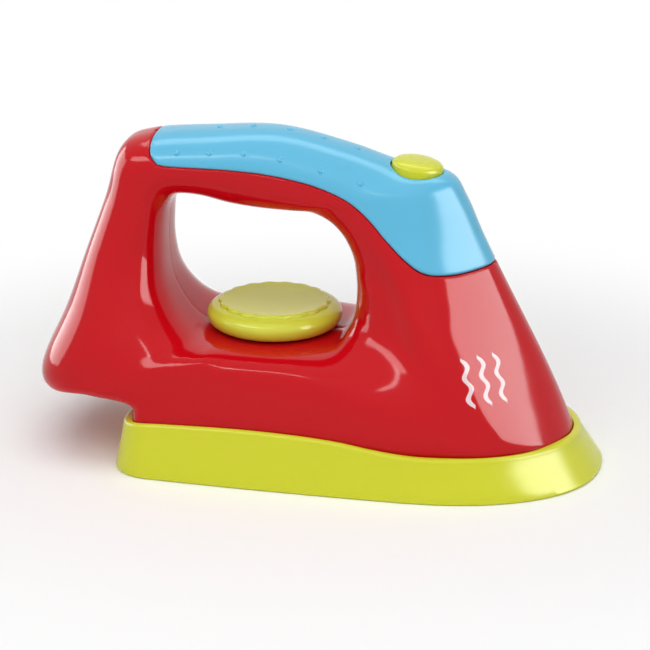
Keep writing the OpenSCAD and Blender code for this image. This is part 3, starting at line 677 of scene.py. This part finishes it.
button_proud = 0.003
button_dome = 0.0028
button_skirt = 0.003
button_stem = 0.0026
button_stem_end = 0.01025
button_power = 2.8
button_sides = 72
dome_steps = 16

lime = gloss_plastic("lime_gloss_plastic", colour=(0.64, 0.66, 0.024), shade=(0.62, 0.64, 0.022),
                     roughness=0.23, specular=0.30)
bm = bmesh.new()
dome_angles = np.linspace(0, pi / 2, dome_steps + 1)
button_profile = [(0, -button_stem_end), (button_stem, -button_stem_end), (button_stem, -button_skirt),
                  (button_radius, -button_skirt)]
button_profile += [(button_radius * abs(cos(a)) ** (2 / button_power),
                    button_proud - button_dome * (1 - sin(a) ** (2 / button_power)))
                   for a in dome_angles[:-1]] + [(0, button_proud)]
stand_on(bm, spin_profile(bm, button_profile, button_sides), button_foot, button_way)
button = finish_mesh(bm, "spray_button_cap", lime, "button")
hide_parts("spray_button")


# Click dial
# A round olive knob of moulded plastic with a fat smooth rim and a scalloped disc on top.
# Its stem turns in a bore of the deck, on a notched wheel under a leaf spring.

dial_lift = 0.0004
dial_place = Vector((-0.089 * iron_length, 0, sections[0, 1] + dial_lift))
dial_radius = 0.0214
dial_height = 0.0082
bulge_share = 0.55
dial_sides = 144
arc_steps = 12
disc_radius = 0.0178
disc_rise = 0.0009
disc_foot = 0.0006
disc_round = 0.0009
disc_round_steps = 5
disc_dish = 0.0006
scallops = 18
scallop_depth = 0.0007
scallop_power = 1.5
points_per_scallop = 10
stem_radius = 0.004
stem_length = 0.0054
square_length = 0.00815
square_width = 0.005
square_overlap = 0.0002
# How the scallops fade over the disc's rounded edge, and then inwards: distance from the edge,
# share of their depth, and share of the dish
edge_fade = 0.15
fade_rows = [(0.0018, 0.4, 0), (0.003, 0.1, 1 / 3)]
dish_radii = [0.0115, 0.008, 0.0045, 0.002]

olive = gloss_plastic("olive_gloss_plastic", colour=(0.66, 0.71, 0.06), shade=(0.63, 0.68, 0.055),
                      roughness=0.20, specular=0.30)


def dial_rim():
    """The knob's body, turned: underside, bulging rim, and the top under the disc."""
    rim_height = dial_height - disc_rise
    bulge = bulge_share * rim_height
    top = disc_radius - scallop_depth
    arc = np.linspace(0, pi / 2, arc_steps + 1)
    profile = [(0, -stem_length), (stem_radius, -stem_length), (stem_radius, 0)]
    profile += [(dial_radius - bulge * (1 - sin(a)), bulge * (1 - cos(a))) for a in arc]
    profile += [(top + (dial_radius - top) * cos(a), bulge + (rim_height - bulge) * sin(a)) for a in arc[1:]]
    bm = bmesh.new()
    spin_profile(bm, profile + [(0, rim_height)], dial_sides)
    square = bmesh.ops.create_cube(bm, size=1)["verts"]
    bmesh.ops.scale(bm, verts=square, vec=(square_width, square_width, square_length))
    bmesh.ops.translate(bm, verts=square, vec=(0, 0, square_overlap - square_length / 2))
    bmesh.ops.translate(bm, verts=bm.verts, vec=dial_place)
    return bm


def dial_disc():
    """The disc on top: rings of points that follow the scallops and fade to a circle."""
    count = scallops * points_per_scallop
    around = np.arange(count) / count * 2 * pi
    bite = scallop_depth * (0.5 + 0.5 * np.cos(around * scallops)) ** scallop_power
    rows = [(0, 1, dial_height - disc_rise - disc_foot)]
    rows += [(disc_round * (1 - cos(a)), 1 - edge_fade * sin(a), dial_height - disc_round * (1 - sin(a)))
             for a in np.linspace(0, pi / 2, disc_round_steps + 1)]
    rows += [(inset, share, dial_height - disc_dish * drop) for inset, share, drop in fade_rows]
    rings = []
    for inset, share, z in rows:
        r = disc_radius - bite * share - inset
        rings.append(np.stack([r * np.cos(around), r * np.sin(around), np.full(count, z)], 1))
    for r in dish_radii:
        z = dial_height - disc_dish * (1 - (r / disc_radius) ** 2)
        rings.append(np.stack([r * np.cos(around), r * np.sin(around), np.full(count, z)], 1))
    bm = bmesh.new()
    rows = sweep_rings(bm, rings, False)
    bmesh.ops.contextual_create(bm, geom=rows[0])
    bmesh.ops.contextual_create(bm, geom=rows[-1])
    bmesh.ops.recalc_face_normals(bm, faces=bm.faces)
    bmesh.ops.translate(bm, verts=bm.verts, vec=dial_place)
    return bm


dial = finish_mesh(dial_rim(), "dial_rim", olive, "dial")
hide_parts("dial_knob")
finish_mesh(dial_disc(), "dial_disc", olive, "dial", sharp_angle=radians(60))


# Sole plate
# A lime tray of glossy plastic with a rounded rim that the body sits in. Four screws hold it
# from below, in sunk wells, and shallow round steam vents are moulded into its flat face.

sole_rear = -0.342 * iron_length
nose_start = 0.170 * iron_length
nose_power = 2.25
rim_nose_power = 2.05
rear_taper = 0.0025
rear_corner = 0.013
rim_lean = 0.0026
nose_lean = 0.004
rim_round = 0.0013
sole_round = 0.0009
pocket_round = 0.0004
vent_inset = 0.014
vent_radius = 0.0018
vent_depth = 0.001
vents_per_side = 6
sole_clamp = 0.0035
sole_screw_shares = [(0.300, 0.200), (-0.250, 0.270)]
hole_sides = 32
sole_round_steps = 5
rim_round_steps = 8
wall_shares = (0.25, 0.5, 0.75)
drop_shares = (0.25, 0.5, 0.75, 1)
outline_steps = 150
# Steps round the outline's corner, along its side and round its nose: to measure it out, and
# to place the vents
outline_samples = (60, 200, 400)
vent_samples = (6, 2, 2 * vents_per_side)
# The rim's top narrows towards a line along the middle of the sole
spine_rear = -0.035
spine_front = 0.058
narrowing_shares = (0.03, 0.06, 0.1, 0.14, 0.18, 0.22, 0.27, 0.33, 0.4, 0.5)
rim_shares = np.array([
    [-0.342, 0.061], [-0.300, 0.075], [-0.240, 0.082], [-0.150, 0.087], [-0.080, 0.088],
    [0.000, 0.084], [0.070, 0.075], [0.130, 0.060], [0.200, 0.047], [0.280, 0.044],
    [0.360, 0.040], [0.430, 0.038], [0.500, 0.036]])
rim_line = smooth_line(rim_shares, steps_per_span)


def rim_top(x):
    """The height of the rim's top at a place along the iron."""
    return seat_height + iron_height * np.interp(x / iron_length, rim_line[:, 0], rim_line[:, 1])


def sole_edge(inset, tip_inset, power, corner_steps, side_steps, nose_steps):
    """Half of the sole's outline from the rear to the nose, drawn in by inset, and more at the tip."""
    rear = sole_rear + inset
    tip = iron_length / 2 - inset - tip_inset
    side = iron_width / 2 - inset
    r = rear_corner - inset
    points = []
    for a in np.linspace(0, pi / 2, corner_steps + 1):
        points.append((rear + r * (1 - cos(a)), side - rear_taper - r * (1 - sin(a))))
    for ahead in np.linspace(0, 1, side_steps + 2)[1:-1]:
        points.append((rear + r + (nose_start - rear - r) * ahead, side - rear_taper * (1 - ahead) ** 2))
    for a in np.linspace(0, pi / 2, nose_steps + 1):
        points.append((nose_start + (tip - nose_start) * sin(a) ** (2 / power),
                       side * abs(cos(a)) ** (2 / power)))
    points[-1] = (tip, 0)
    return np.array(points)


def sole_outline(inset, tip_inset, power):
    """The whole outline, evenly spaced, from the middle of the rear round to itself."""
    half = sole_edge(inset, tip_inset, power, *outline_samples)
    half = np.concatenate([[[half[0, 0], 0]], half])
    along = np.concatenate([[0], np.cumsum(np.linalg.norm(np.diff(half, axis=0), axis=1))])
    even = np.linspace(0, along[-1], outline_steps + 1)
    half = np.stack([np.interp(even, along, half[:, 0]), np.interp(even, along, half[:, 1])], 1)
    return np.concatenate([half, half[-2:0:-1] * [1, -1]])


def sole_rings():
    """Rings from the underside up the wall, over the rim and in along its top."""
    rings = []
    for a in np.linspace(0, pi / 2, sole_round_steps + 1):
        rings.append((sole_round * (1 - sin(a)), sole_round * (1 - cos(a)), 0))
    for share in wall_shares:
        rings.append((rim_lean * share, (1 - share) * sole_round - share * rim_round, share))
    for a in np.linspace(0, pi / 2, rim_round_steps + 1):
        rings.append((rim_lean + rim_round * (1 - cos(a)), rim_round * (sin(a) - 1), 1))
    rows = []
    for inset, rise, share in rings:
        power = nose_power + share * (rim_nose_power - nose_power)
        flat = sole_outline(inset, nose_lean * share, power)
        rows.append(np.stack([flat[:, 0], flat[:, 1], share * rim_top(flat[:, 0]) + rise], 1))
    edge = rows[-1]
    spine = np.stack([np.clip(edge[:, 0], spine_rear, spine_front), np.zeros(len(edge))], 1)
    for share in narrowing_shares:
        flat = edge[:, :2] * (1 - share) + spine * share
        rows.append(np.stack([flat[:, 0], flat[:, 1], rim_top(flat[:, 0])], 1))
    return rows


def sunk_hole(bm, x, y, radius, depth):
    """A round hole in the underside: a rounded lip, a wall, and a flat end."""
    lip_round = sole_round / 3
    ring = bmesh.ops.create_circle(bm, segments=hole_sides, radius=radius + lip_round)["verts"]
    bmesh.ops.translate(bm, verts=ring, vec=(x, y, 0))
    edges = [e for v in ring for e in v.link_edges if e.verts[0] == v]
    lip = edges
    steps = [(lip_round * (1 - sin(a)), lip_round * (1 - cos(a))) for a in (pi / 6, pi / 3, pi / 2)]
    for inset, height in steps + [(0, depth)]:
        made = bmesh.ops.extrude_edge_only(bm, edges=edges)["geom"]
        verts = [g for g in made if isinstance(g, bmesh.types.BMVert)]
        for v in verts:
            way = Vector((v.co.x - x, v.co.y - y)).normalized()
            v.co = (x + way.x * (radius + inset), y + way.y * (radius + inset), height)
        edges = [g for g in made if isinstance(g, bmesh.types.BMEdge)
                 and g.verts[0] in verts and g.verts[1] in verts]
    bmesh.ops.contextual_create(bm, geom=edges)
    return lip


body_tree = BVHTree.FromBMesh(body_skin())


def from_body(points):
    """How far points lie outside the body form."""
    gaps = []
    for p in points:
        near, n, _, _ = body_tree.find_nearest(Vector(p))
        gaps.append((Vector(p) - near).dot(n))
    return np.array(gaps)


def beside_body(p):
    """The place beside the body form, a fitting gap away, that is nearest to p."""
    near, n, _, _ = body_tree.find_nearest(p)
    return near + n * fit_gap


def sole_plate():
    """The tray: its outside, the pocket round the body's foot, and the holes in the underside."""
    bm = bmesh.new()
    rows = sweep_rings(bm, sole_rings(), False)
    bottom = [e for v in rows[0] for e in v.link_edges if e.is_boundary and e.verts[0] == v]
    bmesh.ops.recalc_face_normals(bm, faces=bm.faces)
    within = Vector((0, 0, seat_height / 2))
    if sum(f.normal.dot(f.calc_center_median() - within) for f in bm.faces) < 0:
        bmesh.ops.reverse_faces(bm, faces=bm.faces)
    outer = [f for f in bm.faces if f.calc_center_median().z > seat_height]
    cut = cut_along(bm, lambda p: fit_gap + pocket_round - from_body(p), outer)
    ring, frames = roll_rim(bm, cut, lambda p: pocket_round)

    def pocket_wall(v, drop):
        """A point of the pocket's wall, beside the body, a share of the way from rim to seat."""
        p = frames[v][0] + frames[v][2] * pocket_round - frames[v][1] * pocket_round
        p.z += (seat_height - p.z) * drop
        q = beside_body(p)
        q.z = p.z
        return q

    for drop in drop_shares:
        ring = extrude_rim(bm, ring, lambda v: pocket_wall(v, drop))
    bmesh.ops.contextual_create(bm, geom=ring[0])
    lips = []
    edge = sole_edge(vent_inset, 0, nose_power, *vent_samples)
    for side in (-1, 1):
        for k in range(1, vents_per_side + 1):
            x, y = edge[len(edge) - 1 - 2 * k]
            lips += sunk_hole(bm, x, side * y, vent_radius, vent_depth)
        for share_x, share_y in sole_screw_shares:
            lips += sunk_hole(bm, share_x * iron_length, side * share_y * iron_width, well_radius,
                              seat_height - sole_clamp)
    bmesh.ops.triangle_fill(bm, use_beauty=True, edges=bottom + lips)
    bmesh.ops.recalc_face_normals(bm, faces=bm.faces)
    return bm


sole = finish_mesh(sole_plate(), "sole_tray", lime, "casing", sharp_angle=radians(40))
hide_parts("sole_plate")


# Springs, screws, washers and click wheel
# Stock parts: zinc plated screws and washers, spring steel wire and strip, and a wheel of
# white acetal. They show only down the screw wells.

grain_scale = 900
zinc_dark = (0.56, 0.57, 0.60, 1)
zinc_light = (0.70, 0.71, 0.73, 1)
zinc_smooth = 0.22
zinc_rough = 0.42


def zinc_plated_steel():
    """Steel with a fine grain in its grey and in its roughness."""
    material, tree, shader = new_material("zinc_plated_steel")
    grain = add_noise(tree, add_place(tree), grain_scale, detail=3)
    feed(tree, shader.inputs["Base Color"], add_mix(tree, grain, zinc_dark, zinc_light))
    feed(tree, shader.inputs["Roughness"], add_range(tree, grain, low=zinc_smooth, high=zinc_rough))
    feed(tree, shader.inputs["Metallic"], 1)
    return material


metal = zinc_plated_steel()
acetal = gloss_plastic("white_acetal", colour=(0.78, 0.78, 0.72), shade=(0.74, 0.74, 0.68),
                       roughness=0.4, specular=0.5)
for name in ("button_spring", "button_washer", "button_screw", "click_wheel", "click_spring",
             "dial_washer", "dial_screw", "body_screws", "handle_screws", "sole_screws"):
    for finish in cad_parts[name].material_slots:
        finish.material = acetal if name == "click_wheel" else metal


# Floor, lamps and camera
# A paper floor that fades to plain white round the iron. Some lamps show in the gloss alone and
# some light the colours alone, and the camera has the photograph's viewing angle.

middle = Vector((0, 0, 0.045))
# Azimuth and elevation in degrees, distance from the middle, width and height, and watts
gloss_lamps = {
    "softbox_right": (82, 18, 0.75, (0.62, 0.5), 11.5),
    "softbox_left": (-100, 12, 0.8, (0.76, 0.5), 7.0),
    "softbox_front": (-45, 42, 0.85, (0.42, 0.2), 2.4),
    "tube_front": (-17, 47, 0.9, (0.28, 0.05), 0.6),
    "softbox_behind": (185, 66, 0.9, (1.0, 0.3), 4.6)}
colour_lamps = {
    "overhead": (0, 84, 0.9, (0.9, 0.6), 3.4),
    "fill": (5, 45, 1.0, (0.9, 0.6), 4.0)}
world_light = 0.38
white = (1, 1, 1, 1)
paper_white = (0.95, 0.95, 0.95, 1)
paper_roughness = 0.8
paper_specular = 0.2
floor_size = 3
fade_start = 0.11
fade_end = 0.24

# The camera's direction and distance from a reference point, the pixel of the photograph that
# shows the point, and the width and the middle pixel of the frame
view_azimuth = 12.5
view_elevation = 21.5
view_distance = 1.0
view_reference = Vector((-0.0038, 0, 0))
reference_pixel = (215.0, 296.3)
frame_middle_pixel = (220.0, 250.0)
frame_pixels = 250
pixels_per_metre = 1200


def on_sphere(azimuth, elevation, distance):
    """A place round the iron: the view from azimuth 0 looks along +Y, and from 90 along -X."""
    a, e = radians(azimuth), radians(elevation)
    return Vector((sin(a) * cos(e), -cos(a) * cos(e), sin(e))) * distance


def area_lamp(name, azimuth, elevation, distance, size, power, for_gloss):
    """A soft rectangular lamp turned to the middle, for the gloss or for the colours."""
    data = bpy.data.lights.new(name, "AREA")
    data.shape = "RECTANGLE"
    data.size, data.size_y = size
    data.energy = power
    lamp = bpy.data.objects.new(name, data)
    place = middle + on_sphere(azimuth, elevation, distance)
    lamp.location = place
    lamp.rotation_euler = (middle - place).to_track_quat("-Z", "Y").to_euler()
    lamp.visible_glossy = for_gloss
    lamp.visible_diffuse = not for_gloss
    bpy.context.scene.collection.objects.link(lamp)


for name, row in gloss_lamps.items():
    area_lamp(name, *row, for_gloss=True)
for name, row in colour_lamps.items():
    area_lamp(name, *row, for_gloss=False)


def seen_ray(tree):
    """1 for a ray of the camera, the gloss or the glass, and 0 for the light on colours."""
    ray = tree.nodes.new("ShaderNodeLightPath").outputs
    seen = add_math(tree, "MAXIMUM", ray["Is Camera Ray"], ray["Is Glossy Ray"])
    return add_math(tree, "MAXIMUM", seen, ray["Is Transmission Ray"])


def pale_paper():
    """Matt paper, which turns to plain white away from the iron, except for the light on colours."""
    material, tree, shader = new_material("pale_paper")
    feed(tree, shader.inputs["Base Color"], paper_white)
    feed(tree, shader.inputs["Roughness"], paper_roughness)
    feed(tree, shader.inputs["Specular IOR Level"], paper_specular)
    reach = tree.nodes.new("ShaderNodeVectorMath")
    reach.operation = "LENGTH"
    feed(tree, reach.inputs[0], add_place(tree))
    away = add_range(tree, reach.outputs["Value"], start=fade_start, end=fade_end, kind="SMOOTHSTEP")
    glow = tree.nodes.new("ShaderNodeEmission")
    feed(tree, glow.inputs["Color"], white)
    feed(tree, glow.inputs["Strength"], 1)
    both = tree.nodes.new("ShaderNodeMixShader")
    feed(tree, both.inputs[0], add_math(tree, "MULTIPLY", away, seen_ray(tree)))
    feed(tree, both.inputs[1], shader.outputs[0])
    feed(tree, both.inputs[2], glow.outputs[0])
    feed(tree, tree.nodes["Material Output"].inputs["Surface"], both.outputs[0])
    return material


world = bpy.data.worlds.new("studio")
world.use_nodes = True
background = world.node_tree.nodes["Background"]
feed(world.node_tree, background.inputs["Color"], white)
feed(world.node_tree, background.inputs["Strength"],
     add_range(world.node_tree, seen_ray(world.node_tree), low=world_light, high=1))
bpy.context.scene.world = world

bm = bmesh.new()
bmesh.ops.create_grid(bm, x_segments=1, y_segments=1, size=floor_size)
mesh = bpy.data.meshes.new("floor")
bm.to_mesh(mesh)
bm.free()
mesh.materials.append(pale_paper())
floor = bpy.data.objects.new("floor", mesh)
bpy.context.scene.collection.objects.link(floor)

back = on_sphere(view_azimuth, view_elevation, 1)
right = Vector((cos(radians(view_azimuth)), sin(radians(view_azimuth)), 0))
up = back.cross(right)
shift_right = (frame_middle_pixel[0] - reference_pixel[0]) / pixels_per_metre
shift_up = (reference_pixel[1] - frame_middle_pixel[1]) / pixels_per_metre
aim = view_reference + right * shift_right + up * shift_up
camera_data = bpy.data.cameras.new("camera")
camera_data.sensor_width = 36
camera_data.lens = camera_data.sensor_width * pixels_per_metre * view_distance / frame_pixels
camera = bpy.data.objects.new("camera", camera_data)
camera.location = view_reference + back * view_distance
camera.rotation_euler = (aim - camera.location).to_track_quat("-Z", "Y").to_euler()
bpy.context.scene.collection.objects.link(camera)
bpy.context.scene.camera = camera
bpy.context.scene.view_settings.view_transform = "Standard"
